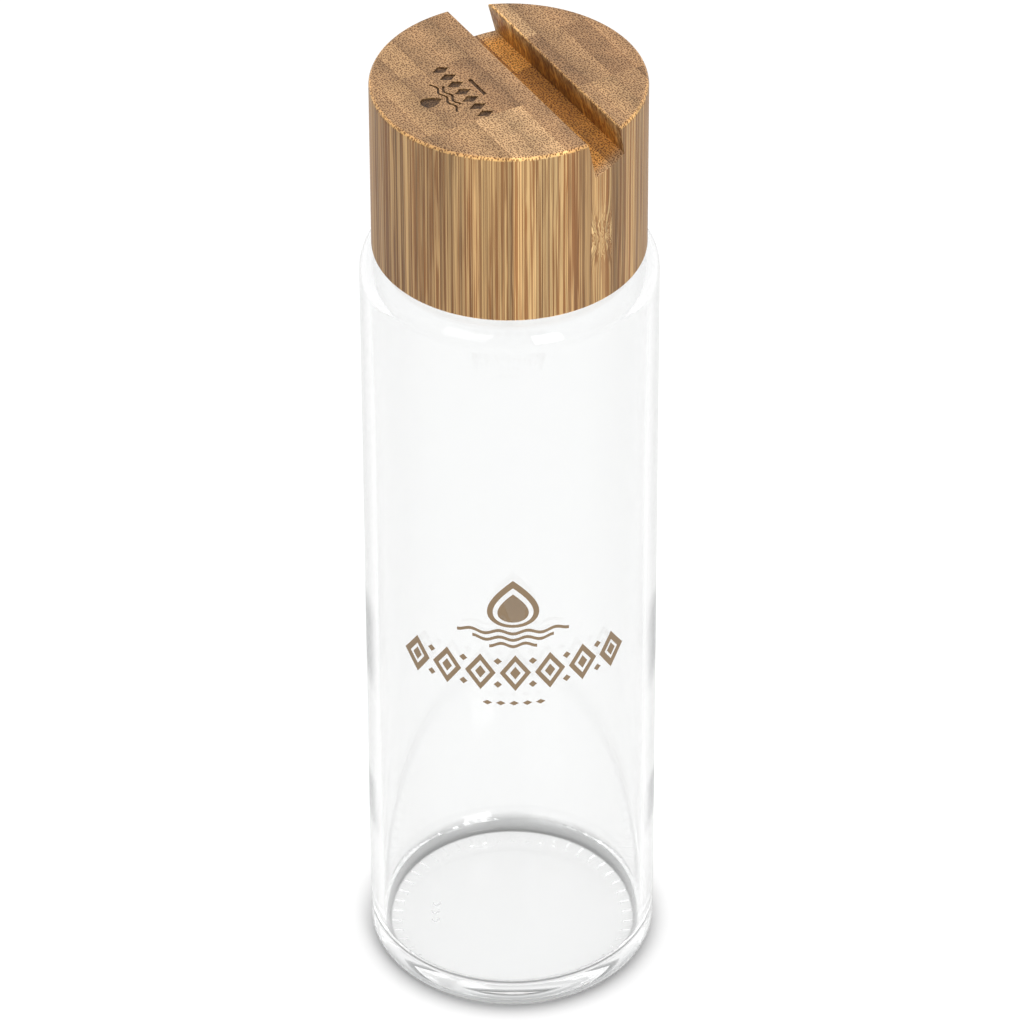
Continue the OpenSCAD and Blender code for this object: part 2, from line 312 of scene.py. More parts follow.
class SharedGroups:
    """Node groups that more than one finish places."""

    def __init__(self) -> None:
        """Builds the groups once."""
        self.bamboo = GroupMaker(
            "bamboo_grain",
            {"Point": "Vector", "Tone": "Color", "Seed": "Float", "Middle": "Float", "Half": "Float",
             "End": "Float", "Edge": "Float", "Knot": "Float"},
            {"Color": "Color", "Roughness": "Float", "Height": "Float"},
        ).build(self.draw_bamboo)
        self.surface = GroupMaker(
            "fine_surface",
            {"Point": "Vector", "Tone": "Color", "Scale": "Float", "Spread": "Float"},
            {"Color": "Color", "Roughness": "Float", "Height": "Float"},
        ).build(self.draw_surface)

    @staticmethod
    def draw_surface(w: Wiring, given: Dict[str, Socket]) -> Dict[str, Socket]:
        """Fine mottling, wear and grain of a moulded or printed surface.

        Args:
            w: The group's wiring.
            given: The group's input sockets by name.

        Returns:
            The output sockets by name.
        """
        broad_scale, fine_share, smooth, rough = 90.0, 0.6, 0.38, 0.58
        fine = w.noise(given["Point"], given["Scale"], 4.0)
        broad = w.noise(given["Point"], broad_scale, 2.0)
        both = w.maths("ADD", w.times(fine, fine_share), w.times(broad, 1 - fine_share))
        shade = w.maths("MULTIPLY_ADD", w.maths("SUBTRACT", both, 0.5), given["Spread"], 1.0)
        colour = w.scaled(given["Tone"], w.join(shade, shade, shade))
        worn = w.band(both, *NOISE_SPAN, smooth, rough)
        return {"Color": colour, "Roughness": worn, "Height": fine}

    @staticmethod
    def draw_bamboo(w: Wiring, given: Dict[str, Socket]) -> Dict[str, Socket]:
        """Bamboo: bundles of fibres that run along Z, seen as dots on the ends and streaks on the sides.

        Args:
            w: The group's wiring. Point is in millimetres, x across the strips and y along them.
            given: The group's input sockets by name.

        Returns:
            The output sockets by name.
        """
        g = Grain()
        x, y, z = w.split(given["Point"])
        shift = w.times(given["Seed"], g.seed_step)

        # Fibres wander a little, and crowd round a knot
        across = w.maths("SUBTRACT", x, given["Middle"])
        near = w.maths("DIVIDE", w.maths("SUBTRACT", z, g.knot_height), g.knot_spread)
        crowd = w.times(w.maths("EXPONENT", w.times(w.times(near, near), -1.0)), given["Knot"])
        curl = w.strand((x, y, z), g.curl)
        crowded = w.times(across, w.times(crowd, g.knot_crowd))
        curled = w.times(w.maths("SUBTRACT", curl, 0.5), w.times(crowd, g.knot_curl))
        drift = w.strand((w.maths("ADD", x, shift), y, z), g.drift)
        drifted = w.times(w.maths("SUBTRACT", drift, 0.5), g.drift_width)
        wandered = w.maths("ADD", w.maths("ADD", x, w.maths("ADD", crowded, curled)), drifted)
        fibres = (w.maths("ADD", wandered, shift), w.maths("ADD", y, w.maths("ADD", curled, drifted)), z)

        # Dots of the bundles, and the streaks and lines that they draw on the sides
        cells = w.node("TexVoronoi", {"Vector": w.join(fibres[0], fibres[1], 0.0), "Scale": g.cell_scale,
                                      "Randomness": g.cell_random}, voronoi_dimensions="2D")
        strong = w.band(w.split(cells.outputs["Color"])[0], 0.0, 1.0, g.cell_weakest, 1.0)
        bundle = w.times(w.band(cells.outputs["Distance"], *g.cell_band, 1.0, 0.0), strong)
        fibre, streak, broad, thin, finer, patch = (
            w.strand(fibres, kind) for kind in (g.fibre, g.streak, g.broad, g.thin, g.finer, g.patch))
        off_line = w.maths("ABSOLUTE", w.maths("SUBTRACT", thin, 0.5))
        off_hair = w.maths("ABSOLUTE", w.maths("SUBTRACT", finer, g.hair_level))
        line = w.band(off_line, *g.line_band, 1.0, 0.0)
        hair = w.band(off_hair, *g.hair_band, 1.0, 0.0)
        line = w.maths("MAXIMUM", line, w.times(hair, w.band(patch, *g.patch_band)))
        gleam = w.band(streak, *g.gleam_band)
        side = w.maths("SUBTRACT", 1.0, given["End"])

        # Tone of the ground, lighter and darker across the strip's thickness
        place = w.maths("DIVIDE", across, given["Half"])
        turned = w.maths("SINE", w.times(given["Seed"], g.slope_turn))
        slope = w.times(place, w.band(turned, -1.0, 1.0, -g.slope, g.slope))
        mottled = w.times(w.maths("SUBTRACT", broad, 0.5), g.mottle)
        fibre_share = w.band(side, 0.0, 1.0, g.fibre_end, g.fibre_side)
        fibred = w.times(w.maths("SUBTRACT", fibre, 0.5), fibre_share)
        streaked = w.times(w.times(w.maths("SUBTRACT", streak, 0.5), side), g.streak_side)
        uneven = w.maths("ADD", w.maths("ADD", slope, mottled), w.maths("ADD", fibred, streaked))
        shade = w.maths("ADD", 1.0, uneven)
        # Ends and sides differ: end grain against side grain, and partly painted light, the top lighter
        # and the sides darker
        base = w.blend(side, w.scaled(given["Tone"], g.end_tone), w.scaled(given["Tone"], g.side_tone))
        ground = w.scaled(base, w.join(shade, shade, shade))

        dots = w.times(bundle, w.band(side, 0.0, 1.0, g.dot_end, g.dot_side))
        dotted = w.blend(dots, ground, w.scaled(ground, g.dot_tone))
        lined = w.blend(w.times(w.times(line, side), g.line_share), dotted, w.scaled(ground, g.line_tone))
        gleams = w.times(w.times(gleam, side), g.gleam_share)
        gleamed = w.blend(gleams, lined, w.scaled(ground, g.gleam_tone))

        # Glue line at both faces of the strip, and the paler skin of a knot
        rim = w.band(w.maths("ABSOLUTE", place), g.glue_start, 1.0)
        glued = w.blend(w.times(rim, g.glue_share), gleamed, w.scaled(gleamed, g.glue_tone))
        knotted = w.blend(w.times(crowd, g.knot_paler), glued, w.scaled(glued, g.knot_tone))

        # Sanded edges are more yellow, with the fibres standing out, and lighter as a painted highlight
        # along the rounding
        gold_and_highlight = w.blend(bundle, w.scaled(ground, g.edge_tone), w.scaled(ground, g.edge_dot_tone))
        edged = w.blend(w.times(given["Edge"], g.edge_share), knotted, gold_and_highlight)

        rough = w.maths("ADD", w.band(fibre, *NOISE_SPAN, *g.rough_band), w.times(bundle, g.dot_rough))
        rough = w.times(rough, w.band(given["Edge"], 0.0, 1.0, 1.0, g.edge_gloss))
        raised = w.maths("ADD", w.times(fibre, g.fibre_height), w.times(line, -g.line_depth))
        height = w.maths("ADD", w.times(bundle, -g.dot_depth), raised)
        return {"Color": edged, "Roughness": rough, "Height": height}


# ---------------------------------------------------------------------------- finishes


@dataclass(frozen=True)
class Finish:
    """What every finish shares: a material with one Principled shader."""

    name: str

    def start(self) -> Tuple[bpy.types.Material, Wiring, bpy.types.Node, bpy.types.Node]:
        """Makes the empty material.

        Returns:
            The material, its wiring, the Principled node and the output node.
        """
        material = bpy.data.materials.new(self.name)
        material.use_nodes = True
        wiring = Wiring(material.node_tree)
        material.node_tree.nodes.clear()
        shader = wiring.node("BsdfPrincipled")
        output = wiring.node("OutputMaterial", {"Surface": shader.outputs[0]})
        return material, wiring, shader, output

    @staticmethod
    def roughen(w: Wiring, shader: bpy.types.Node, height: Socket, strength: float,
                distance: float) -> None:
        """Feeds a height into a shader's normal through a Bump node.

        Args:
            w: The material's wiring.
            shader: The Principled node.
            height: Height from 0 to 1.
            strength: Share of the bump that shows.
            distance: Depth of the relief.
        """
        bump = w.node("Bump", {"Height": height, "Strength": strength, "Distance": distance})
        w.feed(shader.inputs["Normal"], bump.outputs[0])


@dataclass(frozen=True)
class ClearGlass(Finish):
    """Pressed clear glass with faint waves, whose heel keeps light from the floor round it.

    Seen edge on, its wall takes a painted shade, a little all over and more in a few bands, that stands
    in for reflections of darker surroundings; its heel takes a painted shade of the contact shadow seen
    through it. A ray that stays trapped in the glass too long passes straight on.
    """

    tint: Colour = (0.932, 0.935, 0.934)
    # The side, edge, heel and rim tints below are painted shade: on the wall they stand in for
    # reflections of dark surroundings, on the heel for the contact shadow seen through it
    side_tint: Colour = (0.888, 0.891, 0.890)
    edge_tint: Colour = (0.46, 0.465, 0.465)
    heel_tint: Colour = (0.48, 0.49, 0.49)
    edge_on: Point2 = (0.66, 0.87)
    edge_low: float = 0.36
    rim_tint: Colour = (0.62, 0.625, 0.625)
    rim_share: float = 0.6
    inside: float = 30.2 * MM
    inside_reach: Point2 = (0.2 * MM, 0.6 * MM)
    inside_rim: float = 0.2
    edge_bands: Tuple[Point2, ...] = ((90 * MM, 20 * MM), (43 * MM, 12 * MM))
    side_on: Point2 = (0.26, 0.55)
    band_core: float = 0.3
    trapped: float = 10.0
    index: float = 1.5
    wave_scale: float = 38.0
    wave_stretch: float = 0.45
    wave_bump: float = 0.35
    wave_depth: float = 0.05 * MM
    cloud_scale: float = 24.0
    cloud_tone: Colour = (0.994, 0.996, 0.996)
    wall_pass: float = 0.985
    heel_pass: float = 0.0
    heel_height: float = 4.6 * MM
    heel_inside: float = 29.8 * MM
    heel_outside: float = 30.8 * MM
    foot_height: float = 7.5 * MM
    fade_start: float = 0.4

    def build(self) -> bpy.types.Material:
        """Makes the material.

        Returns:
            The material.
        """
        material, w, shader, output = self.start()
        place = w.node("TexCoord").outputs["Object"]
        w.feed(shader.inputs["Transmission Weight"], 1.0)
        w.feed(shader.inputs["IOR"], self.index)
        w.feed(shader.inputs["Roughness"], 0.0)
        waves = w.noise(w.scaled(place, (1.0, 1.0, self.wave_stretch)), self.wave_scale, 1.0)
        x, y, z = w.split(place)
        reach = w.vector("LENGTH", w.join(x, y, 0.0))
        around = w.band(reach, self.heel_inside, self.heel_outside)
        # Painted shade on the heel, standing in for the contact shadow on the floor seen through it
        heel_shade_mask = w.times(self.below(w, z, self.foot_height), around)
        facing = w.node("LayerWeight", {"Blend": 0.5}).outputs["Facing"]
        off_inside = w.maths("ABSOLUTE", w.maths("SUBTRACT", reach, self.inside))
        outside = w.band(off_inside, *self.inside_reach, self.inside_rim, 1.0)
        # Painted shade where the wall is seen edge on, standing in for reflections of dark surroundings,
        # weaker over the inner wall
        rim = w.times(w.times(w.band(facing, *self.edge_on), outside), self.banded(w, z))
        walls = self.walls(w, place, facing, rim)
        w.feed(shader.inputs["Base Color"], w.blend(heel_shade_mask, walls, self.heel_tint))
        self.roughen(w, shader, waves, self.wave_bump, self.wave_depth)

        heel = w.times(self.below(w, z, self.heel_height), around)
        passed = w.maths("ADD", self.wall_pass, w.times(heel, self.heel_pass - self.wall_pass))
        open_glass = w.node("BsdfTransparent", {"Color": w.join(passed, passed, passed)})
        path = w.node("LightPath")
        soft = w.maths("MAXIMUM", path.outputs["Is Shadow Ray"], path.outputs["Is Diffuse Ray"])
        soft = w.maths("MAXIMUM", soft, w.maths("GREATER_THAN", path.outputs["Ray Depth"], self.trapped))
        # The rim's painted shade also dims what shows through the glass there
        shaded = w.node("BsdfTransparent", {"Color": self.rim_tint + (1.0,)})
        rim_painted_mix = w.node("MixShader", {0: w.times(rim, self.rim_share), 1: shader.outputs[0],
                                      2: shaded.outputs[0]})
        mixed = w.node("MixShader", {0: soft, 1: rim_painted_mix.outputs[0], 2: open_glass.outputs[0]})
        w.feed(output.inputs["Surface"], mixed.outputs[0])
        return material

    def below(self, w: Wiring, height: Socket, limit: float) -> Socket:
        """1 near the floor, fading out towards a height."""
        return w.band(height, self.fade_start * limit, limit, 1.0, 0.0)

    def banded(self, w: Wiring, height: Socket) -> Socket:
        """How strongly the painted edge shade shows: everywhere a little, most in a few bands that stand
        in for reflections of dark surroundings.

        Args:
            w: The material's wiring.
            height: The point's height.

        Returns:
            The share, from edge_low to 1.
        """
        dark: Value = self.edge_low
        for middle, half in self.edge_bands:
            off = w.maths("ABSOLUTE", w.maths("SUBTRACT", height, middle))
            dark = w.maths("MAXIMUM", dark, w.band(off, self.band_core * half, half, 1.0, 0.0))
        return dark

    def walls(self, w: Wiring, place: Socket, facing: Socket, rim: Socket) -> Socket:
        """Tint of the walls, with a painted shade where they are seen obliquely and more edge on.

        Args:
            w: The material's wiring.
            place: The point on the glass.
            facing: 0 where the glass is seen square on, 1 edge on.
            rim: Share of the rim's painted shade.

        Returns:
            The tint.
        """
        clouded = w.noise(place, self.cloud_scale, 2.0)
        paler = w.scaled(self.tint, self.cloud_tone)
        middle = w.blend(clouded, self.tint, paler)
        # Painted shade where the wall is seen obliquely, standing in for reflections of darker
        # surroundings
        sides = w.blend(w.band(facing, *self.side_on), middle, self.side_tint)
        return w.blend(rim, sides, self.edge_tint)


@dataclass(frozen=True)
class FineFinish(Finish):
    """A finish whose colour, gloss and relief come from the shared fine surface."""

    groups: SharedGroups
    tone: Colour
    scale: float
    spread: float
    bump: float = 0.0
    depth: float = 0.0

    def grain(self, w: Wiring, shader: bpy.types.Node) -> bpy.types.Node:
        """Places the shared surface and feeds the colour from it.

        Args:
            w: The material's wiring.
            shader: The Principled node.

        Returns:
            The group node.
        """
        place = w.node("TexCoord").outputs["Object"]
        placed = w.node("Group", node_tree=self.groups.surface)
        fed = {"Point": place, "Tone": self.tone, "Scale": self.scale, "Spread": self.spread}
        for name, value in fed.items():
            w.feed(placed.inputs[name], value)
        w.feed(shader.inputs["Base Color"], placed.outputs["Color"])
        return placed

    def build(self) -> bpy.types.Material:
        """Makes the material.

        Returns:
            The material.
        """
        material, w, shader, _ = self.start()
        grain = self.grain(w, shader)
        w.feed(shader.inputs["Roughness"], grain.outputs["Roughness"])
        self.roughen(w, shader, grain.outputs["Height"], self.bump, self.depth)
        self.complete(w, shader)
        return material

    def complete(self, w: Wiring, shader: bpy.types.Node) -> None:
        """Sets what only this finish has; a plain one has nothing more."""


@dataclass(frozen=True)
class PrintedInk(FineFinish):
    """Matt bronze-brown screen print with a fine speckle."""

    tone: Colour = (0.200, 0.134, 0.072)
    scale: float = 2600.0
    spread: float = 0.42
    bump: float = 0.3
    depth: float = 0.01 * MM


@dataclass(frozen=True)
class MouldedPlastic(FineFinish):
    """Off-white moulded plastic of the insert."""

    tone: Colour = (0.80, 0.77, 0.70)
    scale: float = 1500.0
    spread: float = 0.10
    bump: float = 0.25
    depth: float = 0.02 * MM


@dataclass(frozen=True)
class SoftSilicone(FineFinish):
    """Milky silicone of the gasket."""

    tone: Colour = (0.86, 0.87, 0.86)
    scale: float = 900.0
    spread: float = 0.07
    bump: float = 0.2
    depth: float = 0.02 * MM
    milk: float = 0.35
    milk_depth: float = 1.5 * MM

    def complete(self, w: Wiring, shader: bpy.types.Node) -> None:
        """Lets light into the silicone.

        Args:
            w: The material's wiring.
            shader: The Principled node.
        """
        w.feed(shader.inputs["Subsurface Weight"], self.milk)
        w.feed(shader.inputs["Subsurface Scale"], self.milk_depth)


@dataclass(frozen=True)
class PaperFloor(FineFinish):
    """Pale seamless paper, matt all over."""

    tone: Colour = (0.93, 0.93, 0.93)
    scale: float = 700.0
    spread: float = 0.015

    def build(self) -> bpy.types.Material:
        """Makes the material.

        Returns:
            The material.
        """
        material, w, shader, _ = self.start()
        self.grain(w, shader)
        w.feed(shader.inputs["Roughness"], 1.0)
        w.feed(shader.inputs["Specular IOR Level"], 0.0)
        return material


@dataclass(frozen=True)
class BambooFinish(Finish):
    """Oiled bamboo of one strip, cut from the glued block."""

    groups: SharedGroups
    tone: Tone
    seed: float
    middle: float
    half: float
    knot: float
    turned: float
    mark_middle: Point2
    mark_half: Point2
    mark_floor: float
    mark_depth: float
    top: float
    slot_middle: float
    slot_half: float
    slot_depth: float
    lid_radius: float
    burn: Colour = (0.17, 0.145, 0.13)
    end_slant: Point2 = (0.35, 0.85)
    edge_from: Point2 = (0.26, 0.5)
    edge_to: Point2 = (0.82, 0.955)
    slot_fade: float = 0.4 * MM
    slot_end: float = 4 * MM
    burn_scale: float = 900.0
    burn_least: float = 0.72
    burn_fade: Point2 = (0.3, 0.85)
    index: float = 1.45
    gloss: float = 0.4
    bump: float = 0.5
    depth: float = 0.12 * MM
    # Tone of the phone slot: the raw saw cut, and a painted shade of the recess
    oil: Colour = (1.26, 0.96, 0.40)

    def build(self) -> bpy.types.Material:
        """Makes the material.

        Returns:
            The material.
        """
        material, w, shader, _ = self.start()
        coordinates = w.node("TexCoord")
        own = w.node("Mapping", {"Vector": coordinates.outputs["Object"],
                                 "Rotation": (0.0, 0.0, -self.turned)})
        point = w.scaled(own.outputs[0], (PER_MM, PER_MM, PER_MM))
        up = w.maths("ABSOLUTE", w.split(coordinates.outputs["Normal"])[2])
        end = w.band(up, *self.end_slant)
        edge = w.times(w.band(up, *self.edge_from), w.band(up, *self.edge_to, 1.0, 0.0))
        grain = w.node("Group", node_tree=self.groups.bamboo)
        fed = {"Point": point, "Tone": self.tone.value, "Seed": self.seed, "Middle": self.middle / MM,
               "Half": self.half / MM, "End": end, "Edge": edge, "Knot": self.knot}
        for name, value in fed.items():
            w.feed(grain.inputs[name], value)

        colour = grain.outputs["Color"]
        burnt = w.blend(self.burnt_part(w, own.outputs[0]), colour, w.scaled(colour, self.burn))
        # Deeper tone in the phone slot: the raw saw cut, and a painted shade of the recess
        slot_cut_and_shaded = w.blend(self.slot_part(w, own.outputs[0]), burnt, w.scaled(burnt, self.oil))
        w.feed(shader.inputs["Base Color"], slot_cut_and_shaded)
        w.feed(shader.inputs["Roughness"], grain.outputs["Roughness"])
        w.feed(shader.inputs["IOR"], self.index)
        w.feed(shader.inputs["Specular IOR Level"], self.gloss)
        self.roughen(w, shader, grain.outputs["Height"], self.bump, self.depth)
        return material

    def slot_part(self, w: Wiring, place: Socket) -> Socket:
        """Share of the deeper tone on the floor and walls of the phone slot: the raw saw cut, with a
        painted shade of the recess.

        Args:
            w: The material's wiring.
            place: The point in the lid's own turned frame.

        Returns:
            The share, 0 away from the slot.
        """
        x, y, z = w.split(place)
        off = w.maths("ABSOLUTE", w.maths("SUBTRACT", x, self.slot_middle))
        across = w.maths("LESS_THAN", off, self.slot_half)
        deep = w.band(z, self.top - self.slot_depth / 2, self.top - self.slot_fade, 1.0, 0.0)
        reach = w.vector("LENGTH", w.join(x, y, 0.0))
        ends = w.band(reach, self.lid_radius - self.slot_end, self.lid_radius - self.slot_fade, 1.0, 0.0)
        return w.times(w.times(across, deep), ends)

    def burnt_part(self, w: Wiring, place: Socket) -> Socket:
        """Share of the burn on the floor and sides of the sunk mark.

        Args:
            w: The material's wiring.
            place: The point in the lid's own turned frame.

        Returns:
            The share, 0 away from the mark.
        """
        x, y, z = w.split(place)
        inside = []
        for part, middle, half in ((x, self.mark_middle[0], self.mark_half[0]),
                                   (y, self.mark_middle[1], self.mark_half[1])):
            off = w.maths("ABSOLUTE", w.maths("SUBTRACT", part, middle))
            inside.append(w.maths("LESS_THAN", off, half))
        fade = [self.mark_floor + share * self.mark_depth for share in self.burn_fade]
        sunk = w.band(z, *fade, 1.0, 0.0)
        above = w.maths("GREATER_THAN", z, self.mark_floor - self.mark_depth)
        uneven = w.band(w.noise(place, self.burn_scale, 3.0), *NOISE_SPAN, self.burn_least, 1.0)
        return w.times(w.times(w.times(*inside), above), w.times(sunk, uneven))


# ---------------------------------------------------------------------------- modelling helpers


def deselect() -> None:
    """Deselects every object."""
    if bpy.context.object and bpy.context.object.mode != "OBJECT":
        bpy.ops.object.mode_set(mode="OBJECT")
    bpy.ops.object.select_all(action="DESELECT")


def focus(piece: bpy.types.Object) -> None:
    """Makes one object the only selected and active one.

    Args:
        piece: The object.
    """
    deselect()
    piece.select_set(True)
    bpy.context.view_layer.objects.active = piece


def edit(piece: bpy.types.Object, mode: str = "VERT") -> None:
    """Enters edit mode on one object.

    Args:
        piece: The object.
        mode: What is selected: VERT, EDGE or FACE.
    """
    focus(piece)
    bpy.ops.object.mode_set(mode="EDIT")
    bpy.ops.mesh.select_mode(type=mode)


def pick(piece: bpy.types.Object, test: Callable[[Vector], bool]) -> int:
    """Selects the vertices that pass a test, in edit mode.

    Args:
        piece: The object in edit mode.
        test: Function of a vertex's place.

    Returns:
        How many vertices are selected.
    """
    mesh = bmesh.from_edit_mesh(piece.data)
    picked = 0
    for vertex in mesh.verts:
        vertex.select = test(vertex.co)
        picked += vertex.select
    mesh.select_flush_mode()
    bmesh.update_edit_mesh(piece.data)
    return picked


def settle(piece: bpy.types.Object) -> None:
    """Moves the object's place, turn and size into its mesh."""
    focus(piece)
    bpy.ops.object.transform_apply(location=True, rotation=True, scale=True)


def apply_modifier(piece: bpy.types.Object, kind: str, **settings) -> None:
    """Adds a modifier and applies it at once.

    Args:
        piece: The object.
        kind: The modifier's type.
        **settings: Properties of the modifier.
    """
    focus(piece)
    modifier = piece.modifiers.new(kind.lower(), kind)
    for name, value in settings.items():
        setattr(modifier, name, value)
    bpy.ops.object.modifier_apply(modifier=modifier.name)


def remove(piece: bpy.types.Object) -> None:
    """Deletes a helper object."""
    focus(piece)
    bpy.ops.object.delete()


def fuse(pieces: Iterable[bpy.types.Object], name: str) -> bpy.types.Object:
    """Joins objects into one.

    Args:
        pieces: The objects; the first one keeps its data.
        name: Name of the joined object and its mesh.

    Returns:
        The joined object.
    """
    every = list(pieces)
    focus(every[0])
    for piece in every:
        piece.select_set(True)
    if len(every) > 1:
        bpy.ops.object.join()
    joined = bpy.context.object
    joined.name = joined.data.name = name
    return joined


def drawn_line(points: Sequence[Point2], name: str) -> bpy.types.Object:
    """Draws a line of vertices in the XZ plane by extruding one vertex from point to point.

    Args:
        points: (x, z) of each point.
        name: Name of the object.

    Returns:
        The object, in edit mode with its last vertex selected.
    """
    deselect()
    bpy.ops.mesh.primitive_plane_add(size=MM, location=(points[0][0], 0.0, points[0][1]))
    line = bpy.context.object
    line.name = line.data.name = name
    settle(line)
    edit(line)
    bpy.ops.mesh.select_all(action="SELECT")
    bpy.ops.mesh.merge(type="CENTER")
    for (x0, z0), (x1, z1) in zip(points, points[1:]):
        bpy.ops.mesh.extrude_region_move(TRANSFORM_OT_translate={"value": (x1 - x0, 0.0, z1 - z0)})
    return line


def arc(centre: Point2, radius: float, start: float, stop: float, steps: int) -> List[Point2]:
    """Points of a round stretch.

    Args:
        centre: Its centre.
        radius: Its radius.
        start: First angle in degrees.
        stop: Last angle in degrees.
        steps: Number of stretches between the points.

    Returns:
        The points.
    """
    angles = [math.radians(start + (stop - start) * i / steps) for i in range(steps + 1)]
    return [(centre[0] + radius * math.cos(a), centre[1] + radius * math.sin(a)) for a in angles]


def dome(radius: float, height: float, rise: float, steps: int) -> List[Point2]:
    """Points of a shallow dome from its edge to the axis.

    Args:
        radius: Radius of its edge.
        height: Height of its edge.
        rise: Rise at the axis.
        steps: Number of points.

    Returns:
        The points after the edge, the last on the axis.
    """
    shares = [1 - i / steps for i in range(1, steps + 1)]
    return [(radius * q, height + rise * (1 - q * q)) for q in shares]


# ---------------------------------------------------------------------------- the glass


@dataclass
class GlassBottle:
    """The bottle: one closed skin, spun from a profile, with grips, mould dots and a thread."""

    radius: float
    neck_top: float
    skin: float = 0.04 * MM
    wall: float = 2.8 * MM
    neck_rise: float = 26.5 * MM
    shoulder: float = 6.3 * MM
    deck: float = 2.3 * MM
    heel: float = 4 * MM
    floor: float = 5 * MM
    floor_round: float = 4 * MM
    floor_rise: float = 1 * MM
    punt: float = 1.6 * MM
    bearing: float = 4 * MM
    mouth: float = 19.5 * MM
    neck_wall: float = 3.1 * MM
    rim_out: float = 1.2 * MM
    rim_in: float = 0.9 * MM
    fillet: float = 1.6 * MM
    throat: float = 2.2 * MM
    grips: int = 48
    grip_steps: int = 10
    grip_round: float = 1.5 * MM
    grip_depth: float = 0.24 * MM
    grip_margin: float = 1 * MM
    dots: int = 3
    dot_radius: float = 1.3 * MM
    dot_ring: float = 18 * MM
    dot_start: float = 171.0
    dot_step: float = 9.0
    dot_proud: float = 0.45 * MM
    pitch: float = 5 * MM
    turns: float = 1.5
    bead_height: float = 1.5 * MM
    bead_width: float = 2.6 * MM
    bead_start: float = 5.2 * MM
    bead_sides: int = 16
    bead_steps: int = 96
    bead_taper: float = 3.2 * MM
    bead_tip: Tuple[float, float, float] = (0.12, 0.12, 0.35)
    bead_sink: float = 0.985
    cap_reach: float = 1.05
    cap_slack: float = 0.02 * MM
    smooth_angle: float = math.radians(38)
    weld: float = 0.002 * MM
    bend_steps: int = 16
    lip_steps: int = 8
    inner_steps: int = 12
    floor_steps: int = 18
    dome_steps: int = 9
    wall_rings: Tuple[float, ...] = (0.2, 0.5, 0.8)
    ring_lead: float = 0.05 * MM
    grip_slack: float = 0.01 * MM
    grip_aim: float = 0.2
    dot_sides: Tuple[int, int] = (28, 14)

    def __post_init__(self) -> None:
        """Works out the heights and radii that follow from the sizes."""
        self.outer = self.radius - self.skin
        self.inner = self.radius - self.wall
        self.wall_top = self.neck_top - self.neck_rise
        self.deck_top = self.wall_top + self.shoulder
        self.neck = self.mouth + self.neck_wall
        self.ring_out = self.radius - self.heel
        self.ring_in = self.ring_out - self.bearing

    def profile(self) -> List[Point2]:
        """The skin's section, from the axis under the base to the axis on the inside floor.

        Returns:
            (radius, height) of each point.
        """
        heel, lip = self.heel - self.skin, self.lip_steps
        edge = self.ring_in + self.grip_margin
        ring = [edge - self.ring_lead, edge, (edge + self.ring_out) / 2]
        rings = [share * self.wall_top for share in self.wall_rings]
        outside = (
            dome(self.ring_in, 0.0, self.punt, self.dome_steps)[::-1]
            + [(self.ring_in, 0.0)]
            + [(r, 0.0) for r in ring]
            + arc((self.ring_out, heel), heel, -90, 0, self.bend_steps)
            + [(self.outer, z) for z in rings]
            + arc((self.outer - self.shoulder, self.wall_top), self.shoulder, 0, 90, self.bend_steps)
            + arc((self.neck + self.fillet, self.deck_top + self.fillet), self.fillet, 270, 180, lip)
            + arc((self.neck - self.rim_out, self.neck_top - self.rim_out), self.rim_out, 0, 90, lip)
        )
        flat = self.inner - self.floor_round
        under_deck, bend = self.deck_top - self.deck, self.shoulder - self.deck
        inside = (
            arc((self.mouth + self.rim_in, self.neck_top - self.rim_in), self.rim_in, 90, 180, lip)
            + arc((self.mouth + self.throat, under_deck + self.throat), self.throat, 180, 270, lip)
            + arc((self.inner - bend, self.wall_top), bend, 90, 0, self.inner_steps)
            + [(self.inner, z) for z in reversed(rings)]
            + arc((flat, self.floor + self.floor_round), self.floor_round, 0, -90, self.floor_steps)
            + dome(flat, self.floor, self.floor_rise, self.dome_steps)
        )
        return outside + inside

    def body(self) -> bpy.types.Object:
        """Spins the profile into the closed skin.

        Returns:
            The object.
        """
        skin = drawn_line(self.profile(), "bottle_glass")
        bpy.ops.mesh.select_all(action="SELECT")
        bpy.ops.mesh.spin(steps=self.grips * self.grip_steps, angle=TURN, center=(0, 0, 0),
                          axis=(0, 0, 1))
        bpy.ops.mesh.select_all(action="SELECT")
        bpy.ops.mesh.remove_doubles(threshold=self.weld)
        self.press_grips(skin)
        bpy.ops.mesh.select_all(action="SELECT")
        bpy.ops.mesh.normals_make_consistent(inside=False)
        bpy.ops.object.mode_set(mode="OBJECT")
        return skin

    def press_grips(self, skin: bpy.types.Object) -> None:
        """Presses the grip marks up into the standing ring and the heel, in edit mode.

        Args:
            skin: The spun skin.
        """
        spacing = TURN / self.grips
        step = spacing / self.grip_steps
        inside = self.ring_in + self.grip_margin - self.grip_slack
        for offset in range(self.grip_steps // 2):
            across = offset * step * (self.ring_out - self.bearing / 2)
            if across >= self.grip_round:
                break
            depth = math.sqrt(self.grip_round**2 - across**2) - self.grip_round + self.grip_depth
            if depth <= 0:
                break

            def on_grip(place: Vector, offset: int = offset, depth: float = depth) -> bool:
                """Tests whether a vertex is on this line of a grip, below the line's depth.

                Args:
                    place: The vertex's place.
                    offset: Steps from the middle of the grip.
                    depth: Depth of the grip along this line.

                Returns:
                    True if it is.
                """
                if place.z >= depth or math.hypot(place.x, place.y) < inside:
                    return False
                turned = math.atan2(place.y, place.x) / spacing
                return abs(abs(turned - round(turned)) * spacing - offset * step) < self.grip_aim * step

            if pick(skin, on_grip):
                bpy.ops.transform.resize(value=(1, 1, 0), center_override=(0, 0, depth))

